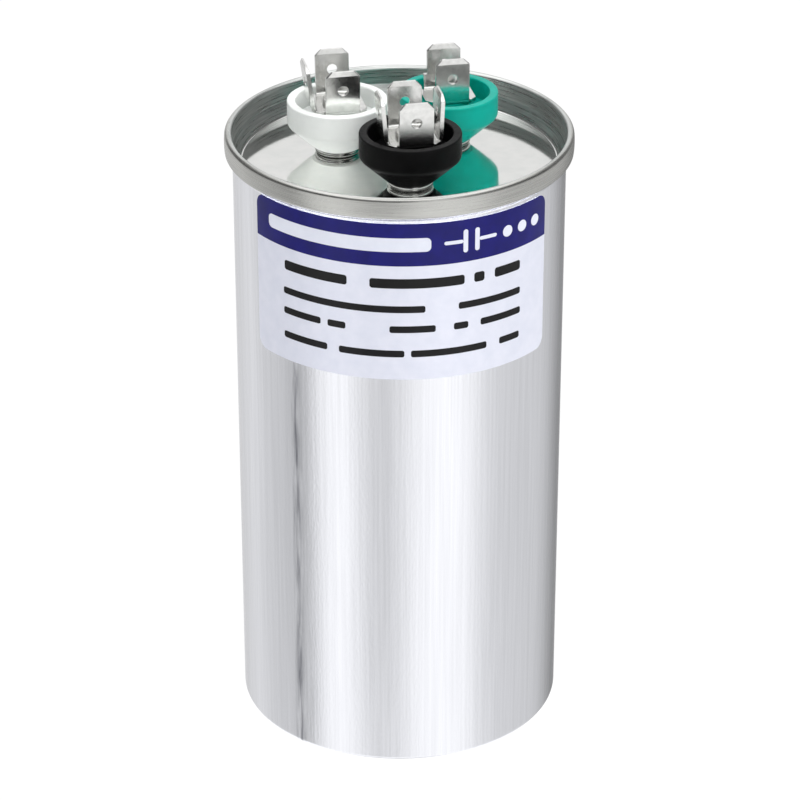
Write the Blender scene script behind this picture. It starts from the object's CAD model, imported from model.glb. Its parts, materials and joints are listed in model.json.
"""Looks of a two-section motor run capacitor, laid out as an add-on that builds its own stage."""

import json
import math

import bmesh
import bpy
from mathutils import Matrix, Vector

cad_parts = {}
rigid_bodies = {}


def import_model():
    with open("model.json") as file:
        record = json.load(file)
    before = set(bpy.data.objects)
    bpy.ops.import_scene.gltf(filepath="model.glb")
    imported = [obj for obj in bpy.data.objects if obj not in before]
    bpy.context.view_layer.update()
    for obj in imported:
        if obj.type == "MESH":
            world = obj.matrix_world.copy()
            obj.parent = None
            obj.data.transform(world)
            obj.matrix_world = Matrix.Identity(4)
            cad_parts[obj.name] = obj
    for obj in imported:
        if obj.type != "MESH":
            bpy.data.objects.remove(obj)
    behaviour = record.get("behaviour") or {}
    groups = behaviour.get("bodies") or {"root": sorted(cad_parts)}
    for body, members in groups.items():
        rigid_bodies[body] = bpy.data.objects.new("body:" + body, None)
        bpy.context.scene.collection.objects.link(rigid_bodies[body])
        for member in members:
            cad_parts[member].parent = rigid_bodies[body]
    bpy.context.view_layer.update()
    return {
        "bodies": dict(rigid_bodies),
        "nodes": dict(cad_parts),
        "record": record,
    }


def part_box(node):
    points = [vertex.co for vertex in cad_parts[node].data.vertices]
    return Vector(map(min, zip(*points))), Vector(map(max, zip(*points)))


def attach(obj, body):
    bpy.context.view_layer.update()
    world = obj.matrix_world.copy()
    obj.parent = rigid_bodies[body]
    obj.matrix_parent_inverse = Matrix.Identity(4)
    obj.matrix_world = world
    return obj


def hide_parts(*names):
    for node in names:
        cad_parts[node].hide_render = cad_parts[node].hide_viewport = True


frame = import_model()

bl_info = {
    "name": "Motor run capacitor",
    "version": (1, 0, 0),
    "blender": (4, 5, 0),
    "location": "3D View > Sidebar > Capacitor",
    "description": "Finishes, printed label and stage of a motor run capacitor",
    "category": "Object",
}

MM = 0.001
BODY = next(iter(frame["bodies"]))
TERMINALS = ("common", "herm", "fan")

# Points closer than this, in metres, are one: in a mesh made here, and in one from the CAD
WELD = 1e-8
CAD_WELD = 1e-7
# Bend from which an edge is shown sharp, and from which a tab's edge is rounded
SHARP = math.radians(30)
# Steps of a full turn, of a bend in sheet metal, and of the rounded corner of a print
TURN_STEPS = 288
BEND_STEPS = 8
CORNER_STEPS = 10

# ---- Can and lid ----

# Thickness of the can's wall, of the lid's sheet and of the can's base, in millimetres
CAN_T = 0.36
LID_T = 0.28
BASE_T = 0.8
# Middle lines of the two sheets, in millimetres, as [radius, height, bend]
CAN_FOOT = [(0, 0), (31, 0, 0.85), (31, 2)]
CAN_LINE = [
    (30.82, 113.715), (30.82, 114.16, 1.2), (31.4, 114.835, 1.2), (31.4, 118.54, 0.32),
    (32.04, 118.54, 0.32), (32.04, 115.91),
]
# The seam's flank is slightly crowned, as the rollers leave it
LID_LINE = [
    (0, 112.86), (29.55, 112.86, 0.75), (31.08, 115.56, 0.9), (31.08, 118.86, 0.64),
    (32.22, 118.86, 0.6), (32.405, 117, 14), (32.22, 115.14, 0.32), (31.72, 115.14, 0.24),
    (31.72, 117.77),
]
# Holes in the deck for the cups' stems: radius, and the steps of their turn
STEM_HOLE_R = 3.15
STEM_HOLE_STEPS = 64

# Scuff down the can: its direction, how far it fades out to each side, and the size of the
# flecks that it breaks up into, both in millimetres
DIE_LINE_AZ = math.radians(-139.6)
DIE_LINE_REACH = 1.5
DIE_LINE_FLECK = (0.7, 0.7, 9)

# ---- Tabs ----

# Depth of the tabs' thinned ends, in metres, and the slighter bend that is rounded there
TIP_DEPTH = 0.0014
TIP_SHARP = math.radians(5)
# Faces that bend less than this against each other are one
TAB_FLAT = math.radians(1)

# ---- Label ----

# Height of the film's lower and upper edge, the can's radius and the film's thickness, in metres
LABEL_LOW, LABEL_HIGH = (v[2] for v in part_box("label"))
CAN_R = 0.031
LABEL_T = 0.00008
# Direction that the label faces, as in the part's source
LABEL_AZ = math.radians(-100)
# From here on in millimetres, along the label from the print's zero, and up from the base
LABEL_WIDTH = 61.5
# Left end of the film beyond the print's zero, and the radius of its corners
LABEL_LEFT = -0.5
LABEL_CORNER = 2.2
# Rise of the film towards its left, for each millimetre of its width
LABEL_TILT = 0.0105
# Width of the upright slices that the print is built from
SLICE = 0.4
HEADER_LOW = 105.35
HEADER_BARS = [(3.2, 35.6, 108.15, 110.85)]
# Symbol of a capacitor: two plates, each with its lead
SYMBOL_BARS = [
    (38.0, 41.6, 109.1, 109.8), (41.6, 42.5, 107.2, 111.7),
    (43.9, 44.8, 107.2, 111.7), (44.8, 48.4, 109.1, 109.8),
]
# Three round marks, one for each terminal
SYMBOL_DOTS = [(50.9, 109.45, 1.1), (54.5, 109.45, 1.1), (58.1, 109.45, 1.1)]
# Rows of bars in place of words, each row with its lower and upper level
BOLD_ROW = (100.95, 102.85, [(7.2, 20.3), (24.5, 41.9), (43.8, 45.9), (48.1, 54.1)])
FINE_ROWS = [
    (96.1, 97.45, [(6.9, 34.6), (40.8, 54.2)]),
    (92.1, 93.45, [(6.9, 15.1), (16.5, 20.0), (28.1, 36.5), (39.9, 42.7), (45.2, 54.3)]),
    (87.2, 88.55, [(6.9, 16.4), (18.7, 30.8), (32.0, 46.5), (49.3, 54.1)]),
]
# Largest radius of the corners of each kind of mark
HEADER_BAR_CORNER = 0.9
SYMBOL_CORNER = 2
BOLD_CORNER = 0.5
FINE_CORNER = 0.4

# ---- Stage ----

# Camera: where it stands, what it looks at, its long lens, and where its view starts
CAMERA_AT = Vector((-0.1143, -0.5573, 0.3573))
CAMERA_TO = Vector((0.000124, -0.000026, 0.06241))
CAMERA_LENS = 149.53
CAMERA_SENSOR = 36
CAMERA_NEAR = 0.01

# Floor: half its side and how far it lies under the base, both in metres, the shade of its
# paper, and the share of plain white that the camera sees of it
FLOOR_HALF = 3
FLOOR_DROP = 0.00002
PAPER_SHADE = (0.86, 0.86, 0.86)
FLOOR_GLOW = 0.9

# Direction from which the tent's sides are counted, as seen from the can
TENT_FRONT = math.radians(-101.6)
# Light on plastics and film: the walls, their shaded left part, and the brighter roof.
# A side is where one gives way to the other, from -1 at the left to 1 at the right.
WALL_LEVEL = 1.18
SHADE_LEVEL = 0.1
SHADE_SIDE = (-0.85, 0.05)
ROOF_LEVEL = 2.2
# Light that the lid passes on to the cups' undersides, from behind and from the front.
# This side runs from -1 behind the can to 1 in front of it.
PASSED_BACK = 0.9
PASSED_FRONT = 11.0
PASSED_SIDE = (0.15, 1.0)
# Levels that metal shows of the floor under the can, the floor, the roof and its crown
FOOT_LEVEL = 0.55
FLOOR_LEVEL = 1.15
ROOF_SHOWN = 1.7
CROWN_LEVEL = 0.85
# Heights between which each of these and the walls gives way to the next, from -1 straight
# down to 1 straight up
FLOOR_LINE = (-0.995, -0.95)
LOW_LINE = (-0.8, -0.62)
EYE_LINE = (-0.12, 0.06)
ROOF_LINE = (0.62, 0.85)
CROWN_LINE = (0.93, 0.97)
# Levels that metal shows of the tent's walls, below and above the can's own level, as
# [degrees from the tent's front, level]
LOW_PANELS = [
    (-178, 1.05), (-160, 0.66), (-146, 0.7), (-128, 0.8), (-110, 0.66), (-92, 0.62),
    (-82, 0.55), (-75, 0.42), (-68, 0.55), (-60, 0.95), (-46, 1.12), (-38, 1.1), (-28, 0.84),
    (-18, 0.68), (-8, 0.68), (4, 0.86), (16, 1.09), (40, 1.12), (52, 1.0), (66, 0.76),
    (84, 0.68), (118, 0.66), (134, 0.52), (146, 0.34), (158, 0.24), (166, 0.32), (176, 1.05),
]
HIGH_PANELS = [
    (-178, 0.88), (-162, 0.86), (-148, 0.2), (-100, 0.12), (-36, 0.12), (-8, 0.12), (8, 0.14),
    (16, 0.95), (32, 0.95), (44, 0.16), (100, 0.12), (148, 0.2), (162, 0.86), (178, 0.88),
]

# The add-on's operators, in the order in which they run
STEPS = ("finishes", "can_and_lid", "label", "tabs", "stage")


def linear(code):
    """Turns an sRGB hex colour into the linear colour that a shader takes."""
    parts = [int(code[i:i + 2], 16) / 255 for i in (0, 2, 4)]
    return [p / 12.92 if p <= 0.04045 else ((p + 0.055) / 1.055) ** 2.4 for p in parts]


def add_node(tree, kind, inputs=None, **settings):
    """Adds a node, sets its properties, and sets or links its inputs."""
    node = tree.nodes.new(kind)
    for key, value in settings.items():
        setattr(node, key, value)
    for key, value in (inputs or {}).items():
        socket = node.inputs[key]
        if isinstance(value, bpy.types.NodeSocket):
            tree.links.new(value, socket)
        else:
            # Colours are written as three numbers, and a colour socket takes an alpha too
            socket.default_value = (*value, 1) if socket.type == "RGBA" else value
    return node


# ---- Finishes ----

# Places of a Mix node's colour sockets, which have the same names as its number sockets
MIX_A, MIX_B, MIXED = 6, 7, 2
# Detail of the noises that need more of it than the others
FINE_DETAIL = 4.0


def cube3(size):
    """The same size along X, Y and Z."""
    return (size, size, size)


def grain(tree, size, detail=3.0):
    """Noise whose grains measure size, in millimetres along X, Y and Z."""
    place = add_node(tree, "ShaderNodeTexCoord").outputs["Object"]
    scaled = add_node(tree, "ShaderNodeMapping", {
        "Vector": place, "Scale": [1 / (s * MM) for s in size]})
    noise = add_node(tree, "ShaderNodeTexNoise", {
        "Vector": scaled.outputs[0], "Scale": 1.0, "Detail": detail})
    return noise.outputs["Fac"]


def mottle(tree, size, low, high, detail=3.0, start=0.3, end=0.7):
    """The same noise, which mostly stays between start and end, spread from low to high."""
    return add_node(tree, "ShaderNodeMapRange", {
        "Value": grain(tree, size, detail), "From Min": start, "From Max": end,
        "To Min": low, "To Max": high}).outputs[0]


def cover(tree, share, colour):
    """Lays a colour over a material's base colour, as far as share says."""
    base = tree.nodes["Principled BSDF"].inputs["Base Color"]
    mix = add_node(tree, "ShaderNodeMix", {
        "Factor": share, MIX_A: base.links[0].from_socket, MIX_B: colour}, data_type="RGBA")
    tree.links.new(mix.outputs[MIXED], base)


def finish(name, colours, patch, rough, rough_grain, bumps, **inputs):
    """Makes a material: two colours in patches, a range of roughness, and bumps.

    patch, rough_grain and the first value of each bump are grain sizes in millimetres;
    the second value of a bump is its depth in millimetres.
    """
    material = bpy.data.materials.new(name)
    material.use_nodes = True
    tree = material.node_tree
    shader = tree.nodes["Principled BSDF"]
    for key, value in inputs.items():
        shader.inputs[key.replace("_", " ")].default_value = value
    base = add_node(tree, "ShaderNodeMix", {
        "Factor": mottle(tree, patch, 0, 1), MIX_A: colours[0], MIX_B: colours[1]},
        data_type="RGBA")
    tree.links.new(base.outputs[MIXED], shader.inputs["Base Color"])
    tree.links.new(mottle(tree, rough_grain, *rough), shader.inputs["Roughness"])
    normal = None
    for size, depth in bumps:
        links = {"Height": grain(tree, size), "Strength": 1.0, "Distance": depth * MM}
        if normal:
            links["Normal"] = normal
        normal = add_node(tree, "ShaderNodeBump", links).outputs[0]
    tree.links.new(normal, shader.inputs["Normal"])
    return material


# Skins of the lid outside its bright deck: the fine streaks of the drawn wall, and the darker
# satin of the rolled seam, as [radius where it starts in millimetres, roughness, two colours]
LID_SKINS = [
    (29.3, (0.24, 0.36), (linear("B2B6B4"), linear("E8EAE8"))),
    (31.5, (0.22, 0.34), (linear("BBBBB8"), linear("CCCCC8"))),
]
# Size of their streaks, drawn coarser than the real ones so that they show, and the width in
# which one skin gives way to the next
STREAK = (10, 10, 0.28)
SKIN_FADE = 0.5


def add_lid_skins(material):
    """Gives the lid's drawn wall and its rolled seam skins of their own."""
    tree = material.node_tree
    rough_socket = tree.nodes["Principled BSDF"].inputs["Roughness"]
    place = add_node(tree, "ShaderNodeTexCoord").outputs["Object"]
    flat = add_node(tree, "ShaderNodeVectorMath", {
        0: place, 1: (1, 1, 0)}, operation="MULTIPLY").outputs[0]
    radius = add_node(tree, "ShaderNodeVectorMath", {0: flat}, operation="LENGTH").outputs["Value"]
    for edge, rough, colours in LID_SKINS:
        inside = add_node(tree, "ShaderNodeMapRange", {
            "Value": radius, "From Min": edge * MM,
            "From Max": (edge + SKIN_FADE) * MM}).outputs[0]
        skin = add_node(tree, "ShaderNodeMix", {
            "Factor": mottle(tree, STREAK, 0, 1, FINE_DETAIL),
            MIX_A: colours[0], MIX_B: colours[1]}, data_type="RGBA")
        cover(tree, inside, skin.outputs[MIXED])
        mix = add_node(tree, "ShaderNodeMix", {
            "Factor": inside, "A": rough_socket.links[0].from_socket,
            "B": mottle(tree, STREAK, *rough, FINE_DETAIL)})
        tree.links.new(mix.outputs["Result"], rough_socket)


def add_die_line(material):
    """Gives the can one long broken scuff, as a worn draw die leaves it."""
    tree = material.node_tree
    place = add_node(tree, "ShaderNodeTexCoord").outputs["Object"]
    facing = (math.cos(DIE_LINE_AZ), math.sin(DIE_LINE_AZ), 0)
    beside = (-facing[1], facing[0], 0)
    front, along = (
        add_node(tree, "ShaderNodeVectorMath", {
            0: place, 1: way}, operation="DOT_PRODUCT").outputs["Value"]
        for way in (facing, beside))
    away = add_node(tree, "ShaderNodeMath", {0: along}, operation="ABSOLUTE").outputs[0]
    near = add_node(tree, "ShaderNodeMapRange", {
        "Value": away, "From Min": DIE_LINE_REACH * MM, "From Max": 0.0}).outputs[0]
    # The wall on the other side of the can has none
    side = add_node(tree, "ShaderNodeMath", {
        0: front, 1: 0.0}, operation="GREATER_THAN").outputs[0]
    worn = mottle(tree, DIE_LINE_FLECK, 0, 1, FINE_DETAIL, start=0.35)
    for share in (near, side):
        worn = add_node(tree, "ShaderNodeMath", {
            0: worn, 1: share}, operation="MULTIPLY").outputs[0]
    cover(tree, worn, linear("85878F"))


def make_finishes(colours):
    """Every finish, by the record's material slot."""
    metal = {"Metallic": 1.0}
    made = {}
    # Deep drawn aluminium: the die leaves fine upright lines that break up its reflections.
    # They are drawn coarser than the real ones, so that they show.
    made["drawn_can"] = finish(
        "deep drawn aluminium", (linear("ECEDF2"), linear("F5F6FB")), (0.6, 0.6, 40),
        (0.19, 0.27), (0.5, 0.5, 14),
        [((0.7, 0.7, 26), 0.0012), ((0.45, 0.45, 1.0), 0.02), ((5, 5, 24), 0.012)], **metal)
    add_die_line(made["drawn_can"])
    # Tin plate, rolled bright: a mirror with faint ripples
    made["tinned_lid"] = finish(
        "bright rolled tin plate", (linear("E6E7E5"), linear("EDEDEB")), cube3(3),
        (0.05, 0.10), cube3(0.6), [(cube3(7), 0.0035)], **metal)
    add_lid_skins(made["tinned_lid"])
    # Stamped tin plate: bright, with the fine grain of the melted tin
    made["tinned_tab"] = finish(
        "stamped tin plated brass", (linear("DEDEDC"), linear("EBEBE9")), cube3(1.2),
        (0.15, 0.24), cube3(0.5), [(cube3(0.4), 0.0004)], **metal)
    # Headed steel under tin: bright, with the small dents of the heading tool
    made["tinned_rivet"] = finish(
        "headed tin plated steel", (linear("C8C8C5"), linear("E6E6E4")), cube3(0.6),
        (0.14, 0.26), cube3(0.3), [(cube3(0.3), 0.004)], **metal)
    # Turned and plated steel: polished beads that show the lid in thin lines
    made["tinned_collar"] = finish(
        "polished plated steel", (linear("C6C6C4"), linear("E4E4E2")), cube3(1.5),
        (0.06, 0.12), cube3(0.5), [(cube3(1.5), 0.003)], **metal)
    # What is moulded or extruded has a smooth skin with a faint ripple and a soft sheen
    moulded = {"IOR": 1.5, "Specular_IOR_Level": 0.3}
    # Phenolic: deep black, with a fine and nearly matt skin
    made["black_plastic"] = finish(
        "moulded black phenolic", (colours.black_cup, linear("0C0C0D")), cube3(2),
        (0.36, 0.50), cube3(0.5), [(cube3(0.35), 0.004)], IOR=1.5, Specular_IOR_Level=0.12)
    # White nylon: milky and even
    made["white_plastic"] = finish(
        "moulded white nylon", (colours.white_cup, linear("DDE0DE")), cube3(3),
        (0.32, 0.42), cube3(0.8), [(cube3(1.2), 0.004)], **moulded)
    # Dyed nylon: a calmer sheen, which leaves the colour full
    made["green_plastic"] = finish(
        "moulded green nylon", (colours.green_cup, linear("029685")), cube3(3),
        (0.32, 0.42), cube3(0.8), [(cube3(1.2), 0.004)], IOR=1.5, Specular_IOR_Level=0.15)
    # Undyed polypropylene: waxy, and slightly yellow
    made["natural_plastic"] = finish(
        "moulded natural polypropylene", (linear("DAD9CE"), linear("E6E5DC")), cube3(3),
        (0.4, 0.5), cube3(1), [(cube3(1.5), 0.01)], **moulded)
    # Metallised film, wound: the grey silk of many edges of film
    made["metallised_film"] = finish(
        "wound metallised polypropylene film", (linear("A9ABAA"), linear("D2D4D3")),
        (0.15, 0.15, 30), (0.3, 0.4), (0.2, 0.2, 20), [((0.15, 0.15, 30), 0.01)],
        Metallic=0.6)
    # Wrap film: amber and glossy, with the long waves of winding
    made["wrap_film"] = finish(
        "polypropylene wrap film", (linear("BFB48C"), linear("D3C9A4")), (6, 6, 20),
        (0.2, 0.3), cube3(3), [(cube3(5), 0.02)], **moulded)
    # Pressed board: brown, dry and fibrous
    made["insulating_board"] = finish(
        "pressed phenolic board", (linear("8A6742"), linear("A07D55")), cube3(0.8),
        (0.6, 0.75), cube3(0.6), [(cube3(0.4), 0.02)], **moulded)
    # Arc sprayed zinc: a dull grey crust of droplets
    made["sprayed_zinc"] = finish(
        "arc sprayed zinc", (linear("7E8082"), linear("A5A7A9")), cube3(0.4),
        (0.5, 0.7), cube3(0.3), [(cube3(0.3), 0.05)], Metallic=0.8)
    # Sealing compound: dark grey and dull, settled as it flowed
    made["sealing_compound"] = finish(
        "flowed in sealing compound", (linear("3A3A3C"), linear("4A4A4C")), cube3(1),
        (0.6, 0.7), cube3(0.5), [(cube3(0.5), 0.01)], **moulded)
    # Nitrile rubber: dull black
    made["gasket_rubber"] = finish(
        "moulded nitrile rubber", (linear("202021"), linear("2B2B2C")), cube3(1),
        (0.6, 0.7), cube3(0.5), [(cube3(0.4), 0.01)], **moulded)
    # Extruded insulation: smooth, in the colour of the lead's own cup
    for key, first, second in (
            ("black", "161617", "1E1E1F"), ("white", "DCDCD8", "E8E8E4"),
            ("green", "0C6B52", "107A5E")):
        made[key + "_wire"] = finish(
            "extruded " + key + " insulation", (linear(first), linear(second)),
            cube3(2), (0.4, 0.5), cube3(0.6), [(cube3(0.6), 0.004)], **moulded)
    # Printed polyester film: satin laminate over pale lavender grey. The film itself is faintly
    # silvered, so it takes on a little of the can's light and shade, and the inks aren't.
    film = {"IOR": 1.5, "Specular_IOR_Level": 0.15, "Coat_Weight": 0.2, "Coat_Roughness": 0.22}
    for key, name, first, second, silver in (
            ("printed_label", "printed polyester film", colours.label_film,
             linear("D8DBE8"), 0.25),
            ("header_ink", "violet blue label ink", colours.header_ink, linear("0C0A5C"), 0),
            ("white_ink", "white label ink", linear("DADDE8"), linear("D4D7E3"), 0),
            ("black_ink", "black label ink", linear("0A0A0C"), linear("121214"), 0)):
        made[key] = finish(
            name, (first, second), cube3(2.5), (0.34, 0.42), cube3(1), [(cube3(3), 0.006)],
            Metallic=silver, **film)
    return made


def paint(piece, material):
    """Gives a piece or a CAD node one finish, on the object and not on its mesh."""
    if not piece.material_slots:
        piece.data.materials.append(None)
    for place in piece.material_slots:
        place.link = "OBJECT"
        place.material = material


# Names of the materials, by the record's material slot, once they are made
FINISH_NAMES = {}


def finish_for(slot):
    """The material that stands for a slot, or for one of the label's inks."""
    return bpy.data.materials[FINISH_NAMES[slot]]


# ---- Pieces ----


def new_piece(name, mesh, slot, finish_slot=None, nodes=()):
    """Places a finished mesh in the scene, riding on the body."""
    piece = bpy.data.objects.new(name, mesh)
    bpy.context.scene.collection.objects.link(piece)
    paint(piece, finish_for(finish_slot or slot))
    if nodes:
        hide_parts(*nodes)
    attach(piece, BODY)
    return piece


def columns(start, end, low, high, top_corner, bottom_corner):
    """Upright slices of a rectangle with rounded corners, as [place, low, high]."""
    corner = max(top_corner, bottom_corner)
    ease = [corner * (1 - math.cos(math.pi / 2 * i / CORNER_STEPS))
            for i in range(CORNER_STEPS + 1)]
    middle = max(2, int((end - start - 2 * corner) / SLICE))
    places = [start + e for e in ease]
    places += [start + corner + (end - start - 2 * corner) * i / middle for i in range(1, middle)]
    places += [end - e for e in reversed(ease)]

    def cut(place, radius):
        gap = radius - min(place - start, end - place)
        return 0 if radius == 0 or gap <= 0 else radius - math.sqrt(max(0, radius**2 - gap**2))

    return [[p, low + cut(p, bottom_corner), high - cut(p, top_corner)] for p in places]


def curved_patch(target, slices, inner, outer):
    """Adds a thin plate that follows the can, from radius inner to radius outer."""
    left = LABEL_AZ - LABEL_WIDTH * MM / CAN_R / 2
    rings = []
    for place, low, high in slices:
        turn = left + place * MM / CAN_R
        ray = Vector((math.cos(turn), math.sin(turn), 0))
        rise = LABEL_TILT * (LABEL_WIDTH / 2 - place)
        rings.append([
            target.verts.new(ray * r + Vector((0, 0, (z + rise) * MM)))
            for r, z in ((outer, low), (outer, high), (inner, high), (inner, low))])
    for a, b in zip(rings, rings[1:]):
        for i in range(4):
            j = (i + 1) % 4
            target.faces.new((a[i], b[i], b[j], a[j]))
    target.faces.new(rings[0])
    target.faces.new(list(reversed(rings[-1])))


def mesh_from(name, build):
    """Runs build on an empty bmesh and returns the mesh, with its faces turned outwards."""
    target = bmesh.new()
    build(target)
    bmesh.ops.remove_doubles(target, verts=target.verts, dist=WELD)
    bmesh.ops.dissolve_degenerate(target, edges=target.edges, dist=WELD)
    bmesh.ops.recalc_face_normals(target, faces=target.faces)
    mesh = bpy.data.meshes.new(name)
    target.to_mesh(mesh)
    target.free()
    mesh.shade_smooth()
    mesh.set_sharp_from_angle(angle=SHARP)
    return mesh


def wrap_around(name, patches, inner, outer, finish_slot=None, nodes=()):
    """One piece of film or ink on the can: thin plates, each given by its slices."""
    def build(target):
        for slices in patches:
            curved_patch(target, slices, inner, outer)

    new_piece(name, mesh_from(name, build), "printed_label", finish_slot, nodes)


def rounded_bars(bars, corner):
    """Slices of bars that are given by [start, end, low, high]."""
    patches = []
    for start, end, low, high in bars:
        r = min(corner, (end - start) / 2, (high - low) / 2)
        patches.append(columns(start, end, low, high, r, r))
    return patches


def bent_line(corners):
    """Points along a line of [radius, height, bend] corners, each with its left-hand side."""
    points = [Vector(c[:2]) for c in corners]
    line = []
    for i, corner in enumerate(points):
        into = (corner - points[i - 1]).normalized() if i else None
        out = (points[i + 1] - corner).normalized() if i + 1 < len(points) else None
        if into is None or out is None:
            way = out or into
            line.append((corner, Vector((-way.y, way.x))))
            continue
        turn = -into.angle_signed(out)
        bend = corners[i][2]
        centre = corner - into * bend * math.tan(abs(turn) / 2)
        centre += Vector((-into.y, into.x)) * math.copysign(bend, turn)
        for k in range(BEND_STEPS + 1):
            way = into.copy()
            way.rotate(Matrix.Rotation(turn * k / BEND_STEPS, 2))
            side = Vector((-way.y, way.x))
            line.append((centre - side * math.copysign(bend, turn), side))
    return line


def sheet_sides(corners, thickness):
    """Both sides of a bent sheet, given by its middle line."""
    line = bent_line(corners)
    return [[p + side * thickness * share for p, side in line] for share in (-0.5, 0.5)]


def lathe(target, loop):
    """Turns a closed section of [radius, height] points in millimetres around the can's axis."""
    rings = []
    for k in range(TURN_STEPS):
        turn = math.tau * k / TURN_STEPS
        ray = Vector((math.cos(turn), math.sin(turn), 0))
        rings.append([target.verts.new((ray * p[0] + Vector((0, 0, p[1]))) * MM) for p in loop])
    for a, b in zip(rings, rings[1:] + rings[:1]):
        for i in range(len(loop)):
            j = (i + 1) % len(loop)
            target.faces.new((a[i], b[i], b[j], a[j]))


# ---- Add-on ----


class CapacitorLook(bpy.types.PropertyGroup):
    """Colours and small sizes that a user would change."""

    black_cup: bpy.props.FloatVectorProperty(
        name="Common cup", description="Colour of the common terminal's cup",
        subtype="COLOR", size=3, min=0, max=1, default=linear("070708"))
    white_cup: bpy.props.FloatVectorProperty(
        name="Compressor cup", description="Colour of the compressor terminal's cup",
        subtype="COLOR", size=3, min=0, max=1, default=linear("E3E6E4"))
    green_cup: bpy.props.FloatVectorProperty(
        name="Fan cup", description="Colour of the fan terminal's cup",
        subtype="COLOR", size=3, min=0, max=1, default=linear("00A091"))
    label_film: bpy.props.FloatVectorProperty(
        name="Label", description="Colour of the label's film",
        subtype="COLOR", size=3, min=0, max=1, default=linear("DFE1ED"))
    header_ink: bpy.props.FloatVectorProperty(
        name="Header", description="Colour of the label's header band",
        subtype="COLOR", size=3, min=0, max=1, default=linear("100E6A"))
    tab_edge: bpy.props.FloatProperty(
        name="Tab edge", description="Rounding that the stamping leaves along a tab's edges",
        unit="LENGTH", min=0, max=0.0002, precision=5, default=0.00007)
    ink_depth: bpy.props.FloatProperty(
        name="Ink", description="How far each layer of ink stands proud of the film",
        unit="LENGTH", min=0, max=0.0001, precision=6, default=0.000012)


class CAPACITOR_OT_finishes(bpy.types.Operator):
    """Make every finish and put it on the parts that keep their own shape"""

    bl_idname = "capacitor.finishes"
    bl_label = "Finishes"

    def execute(self, context):
        for slot, material in make_finishes(context.scene.capacitor_look).items():
            FINISH_NAMES[slot] = material.name
        for part in frame["record"]["subparts"]:
            paint(frame["nodes"][part["node"]], finish_for(part["material_slot"]))
        return {"FINISHED"}


class CAPACITOR_OT_can_and_lid(bpy.types.Operator):
    """Draw the can and the lid with their double seam in finer steps than the CAD's"""

    bl_idname = "capacitor.can_and_lid"
    bl_label = "Can and lid"

    def execute(self, context):
        outer, inner = sheet_sides(CAN_LINE, CAN_T)
        # The foot's last point only gives its bend the way that it leaves in
        foot = [p for p, side in bent_line(CAN_FOOT)][:-1]
        base = [(CAN_LINE[0][0] - CAN_T / 2, BASE_T), (0, BASE_T)]
        can = mesh_from("can_shell", lambda target: lathe(
            target, foot + outer + inner[::-1] + base))
        new_piece("can_shell", can, "drawn_can", nodes=("can",))
        under, over = sheet_sides(LID_LINE, LID_T)
        lid = mesh_from("lid_shell", lambda target: lathe(target, under + over[::-1]))
        self.pierce(new_piece("lid_shell", lid, "tinned_lid", nodes=("lid",)))
        return {"FINISHED"}

    def pierce(self, piece):
        """Cuts the holes for the three cups' stems through the lid's deck."""
        def drills(target):
            for terminal in TERMINALS:
                low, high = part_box(terminal + "_bush")
                place = Matrix.Translation((*((low + high) / 2).xy, LID_LINE[0][1] * MM))
                bmesh.ops.create_cone(
                    target, cap_ends=True, segments=STEM_HOLE_STEPS,
                    radius1=STEM_HOLE_R * MM, radius2=STEM_HOLE_R * MM,
                    depth=4 * LID_T * MM, matrix=place)

        tool = bpy.data.objects.new("drills", mesh_from("drills", drills))
        bpy.context.scene.collection.objects.link(tool)
        holes = piece.modifiers.new("Stem holes", "BOOLEAN")
        holes.object = tool
        holes.solver = "EXACT"
        whole = piece.evaluated_get(bpy.context.evaluated_depsgraph_get())
        mesh = bpy.data.meshes.new_from_object(whole)
        mesh.set_sharp_from_angle(angle=SHARP)
        piece.modifiers.clear()
        piece.data = mesh
        bpy.data.objects.remove(tool)
        paint(piece, finish_for("tinned_lid"))


class CAPACITOR_OT_label(bpy.types.Operator):
    """Wrap the label's film around the can and print on it"""

    bl_idname = "capacitor.label"
    bl_label = "Label"

    def execute(self, context):
        step = context.scene.capacitor_look.ink_depth
        face = CAN_R + LABEL_T
        low, high = LABEL_LOW / MM, LABEL_HIGH / MM
        film = columns(LABEL_LEFT, LABEL_WIDTH, low, high, LABEL_CORNER, LABEL_CORNER)
        wrap_around("label_film", [film], CAN_R, face, nodes=("label",))
        band = columns(LABEL_LEFT, LABEL_WIDTH, HEADER_LOW, high, LABEL_CORNER, 0)
        wrap_around("header_band", [band], face, face + step, "header_ink")
        # The white marks lie on the band
        dots = [(x - r, x + r, z - r, z + r) for x, z, r in SYMBOL_DOTS]
        for name, bars, corner in (
                ("header_bar", HEADER_BARS, HEADER_BAR_CORNER),
                ("header_symbol", SYMBOL_BARS + dots, SYMBOL_CORNER)):
            patches = rounded_bars(bars, corner)
            wrap_around(name, patches, face + step, face + 2 * step, "white_ink")
        for name, rows, corner in (
                ("bold_row", [BOLD_ROW], BOLD_CORNER), ("fine_rows", FINE_ROWS, FINE_CORNER)):
            bars = [(a, b, low, high) for low, high, words in rows for a, b in words]
            wrap_around(name, rounded_bars(bars, corner), face, face + step, "black_ink")
        return {"FINISHED"}


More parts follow.
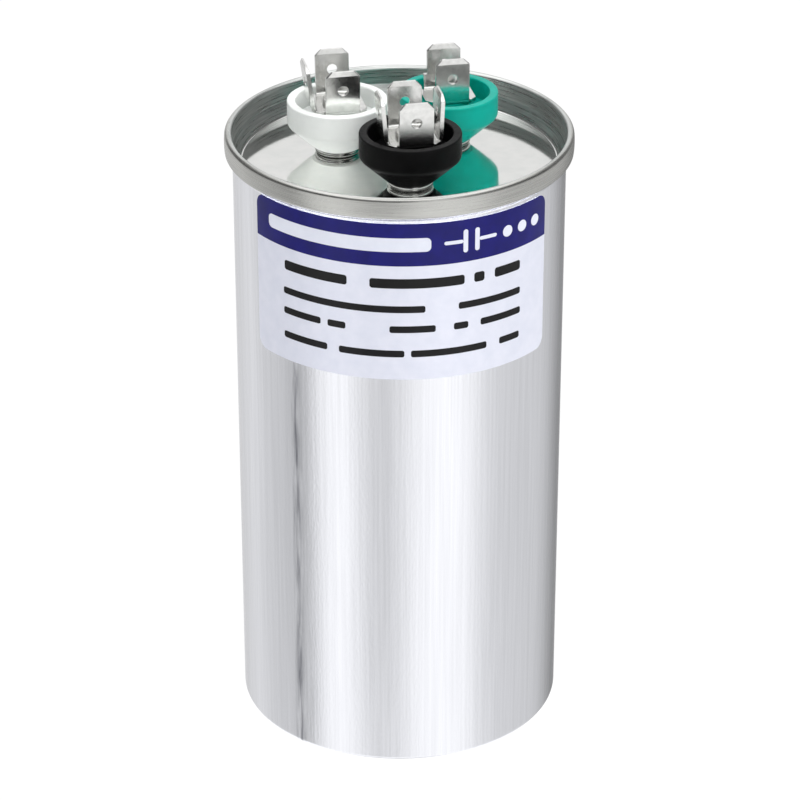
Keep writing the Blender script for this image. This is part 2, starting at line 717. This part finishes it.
class CAPACITOR_OT_tabs(bpy.types.Operator):
    """Round the stamped edges of the push-on tabs"""

    bl_idname = "capacitor.tabs"
    bl_label = "Tabs"

    def execute(self, context):
        edge = context.scene.capacitor_look.tab_edge
        for terminal in TERMINALS:
            nodes = (terminal + "_tabs",)
            target = bmesh.new()
            target.from_mesh(frame["nodes"][nodes[0]].data)
            bmesh.ops.remove_doubles(target, verts=target.verts, dist=CAD_WELD)
            bmesh.ops.dissolve_limit(
                target, angle_limit=TAB_FLAT, verts=target.verts, edges=target.edges)
            # The slight edges of the thinned tips are rounded too, but not the bends' steps
            tip = max(v.co.z for v in target.verts) - TIP_DEPTH
            sharp = [e for e in target.edges if e.is_manifold and e.calc_face_angle() > (
                TIP_SHARP if min(v.co.z for v in e.verts) > tip else SHARP)]
            bmesh.ops.bevel(
                target, geom=sharp, offset=edge, segments=2, profile=0.6, affect="EDGES",
                clamp_overlap=False)
            mesh = bpy.data.meshes.new(terminal + "_tab_cluster")
            target.to_mesh(mesh)
            target.free()
            mesh.shade_smooth()
            piece = new_piece(terminal + "_tab_cluster", mesh, "tinned_tab", nodes=nodes)
            flat = piece.modifiers.new("Flat faces", "WEIGHTED_NORMAL")
            flat.weight = 100
        return {"FINISHED"}


class CAPACITOR_OT_stage(bpy.types.Operator):
    """Set the floor, the soft light and the camera"""

    bl_idname = "capacitor.stage"
    bl_label = "Stage"

    def execute(self, context):
        scene = context.scene
        scene.view_settings.view_transform = "Standard"
        camera = bpy.data.objects.new("camera", bpy.data.cameras.new("camera"))
        camera.location = CAMERA_AT
        camera.rotation_euler = (CAMERA_TO - CAMERA_AT).to_track_quat("-Z", "Y").to_euler()
        camera.data.lens = CAMERA_LENS
        camera.data.sensor_width = CAMERA_SENSOR
        camera.data.clip_start = CAMERA_NEAR
        scene.collection.objects.link(camera)
        scene.camera = camera
        self.lay_floor(scene)
        self.light_room(scene)
        return {"FINISHED"}

    def lay_floor(self, scene):
        """A pale floor that mostly glows white to the camera and keeps a faint shadow."""
        half = FLOOR_HALF
        mesh = bpy.data.meshes.new("floor")
        mesh.from_pydata(
            [(-half, -half, 0), (half, -half, 0), (half, half, 0), (-half, half, 0)], [],
            [(0, 1, 2, 3)])
        floor = bpy.data.objects.new("floor", mesh)
        floor.location.z = -FLOOR_DROP
        floor.visible_glossy = False
        scene.collection.objects.link(floor)
        # Coated paper, rolled smooth: an even white without gloss
        material = bpy.data.materials.new("white paper sweep")
        material.use_nodes = True
        tree = material.node_tree
        tree.nodes.clear()
        paper = add_node(tree, "ShaderNodeBsdfDiffuse", {"Color": PAPER_SHADE})
        glow = add_node(tree, "ShaderNodeEmission", {"Color": (1, 1, 1), "Strength": 1.0})
        seen = add_node(tree, "ShaderNodeLightPath").outputs["Is Camera Ray"]
        part = add_node(tree, "ShaderNodeMath", {0: seen, 1: FLOOR_GLOW}, operation="MULTIPLY")
        mix = add_node(tree, "ShaderNodeMixShader", {
            0: part.outputs[0], 1: paper.outputs[0], 2: glow.outputs[0]})
        add_node(tree, "ShaderNodeOutputMaterial", {"Surface": mix.outputs[0]})
        floor.data.materials.append(material)

    def light_room(self, scene):
        """A white tent: even light on the object, and soft upright panels for its metal."""
        world = bpy.data.worlds.new("light tent")
        scene.world = world
        world.use_nodes = True
        tree = world.node_tree
        tree.nodes.clear()
        # X runs to the tent's front, Y to its right side and Z up
        way = add_node(tree, "ShaderNodeTexCoord").outputs["Generated"]
        turned = add_node(tree, "ShaderNodeVectorRotate", {
            "Vector": way, "Angle": -TENT_FRONT}, rotation_type="Z_AXIS").outputs[0]
        axes = add_node(tree, "ShaderNodeSeparateXYZ", {0: turned}).outputs
        turn = add_node(tree, "ShaderNodeMath", {
            0: axes["Y"], 1: axes["X"]}, operation="ARCTAN2").outputs[0]
        around = add_node(tree, "ShaderNodeMapRange", {
            "Value": turn, "From Min": -math.pi, "From Max": math.pi}).outputs[0]
        # What metal shows, from the foot upwards
        shown = self.layers(tree, FOOT_LEVEL, [
            (axes["Z"], *FLOOR_LINE, FLOOR_LEVEL),
            (axes["Z"], *LOW_LINE, self.panels(tree, around, LOW_PANELS)),
            (axes["Z"], *EYE_LINE, self.panels(tree, around, HIGH_PANELS)),
            (axes["Z"], *ROOF_LINE, ROOF_SHOWN),
            (axes["Z"], *CROWN_LINE, CROWN_LEVEL)])
        # What lights the plastics and the film, a little less from the left
        soft = self.layers(tree, SHADE_LEVEL, [
            (axes["Y"], *SHADE_SIDE, WALL_LEVEL), (axes["Z"], *ROOF_LINE, ROOF_LEVEL)])
        # What the lid passes on to the undersides of the cups, mostly from the front
        passed = self.layers(tree, PASSED_BACK, [(axes["X"], *PASSED_SIDE, PASSED_FRONT)])
        rays = add_node(tree, "ShaderNodeLightPath").outputs
        mirrored = self.layers(tree, passed, [(rays["Diffuse Depth"], 1, 0, shown)])
        light = self.layers(tree, soft, [
            (rays["Is Glossy Ray"], 0, 1, mirrored), (rays["Is Camera Ray"], 0, 1, 1.0)])
        back = add_node(tree, "ShaderNodeBackground", {"Color": light, "Strength": 1.0})
        add_node(tree, "ShaderNodeOutputWorld", {"Surface": back.outputs[0]})

    def layers(self, tree, level, rows):
        """A level that gives way to others, by rows of [value, its start, its end, level]."""
        for value, start, end, following in rows:
            share = add_node(tree, "ShaderNodeMapRange", {
                "Value": value, "From Min": start, "From Max": end}).outputs[0]
            level = add_node(tree, "ShaderNodeMix", {
                "Factor": share, "A": level, "B": following}).outputs["Result"]
        return level

    def panels(self, tree, around, stops):
        """Levels around the tent: stops are [degrees from its front, level]."""
        ramp = add_node(tree, "ShaderNodeValToRGB", {"Fac": around})
        table = ramp.color_ramp
        table.interpolation = "EASE"
        for i, (turn, level) in enumerate(stops):
            at = (turn + 180) / 360
            stop = table.elements[i] if i < 2 else table.elements.new(at)
            stop.position = at
            stop.color = (level, level, level, 1)
        return ramp.outputs["Color"]


class CAPACITOR_PT_sidebar(bpy.types.Panel):
    """The sidebar panel that lists the steps and their settings"""

    bl_idname = "CAPACITOR_PT_sidebar"
    bl_label = "Motor run capacitor"
    bl_space_type = "VIEW_3D"
    bl_region_type = "UI"
    bl_category = "Capacitor"

    def draw(self, context):
        for step in STEPS:
            self.layout.operator("capacitor." + step)
        for key in CapacitorLook.__annotations__:
            self.layout.prop(context.scene.capacitor_look, key)


CLASSES = (
    CapacitorLook, CAPACITOR_OT_finishes, CAPACITOR_OT_can_and_lid, CAPACITOR_OT_label,
    CAPACITOR_OT_tabs, CAPACITOR_OT_stage, CAPACITOR_PT_sidebar,
)


def register():
    for cls in CLASSES:
        bpy.utils.register_class(cls)
    bpy.types.Scene.capacitor_look = bpy.props.PointerProperty(type=CapacitorLook)


def unregister():
    del bpy.types.Scene.capacitor_look
    for cls in reversed(CLASSES):
        bpy.utils.unregister_class(cls)


def main():
    register()
    for step in STEPS:
        getattr(bpy.ops.capacitor, step)()


if __name__ == "__main__":
    main()
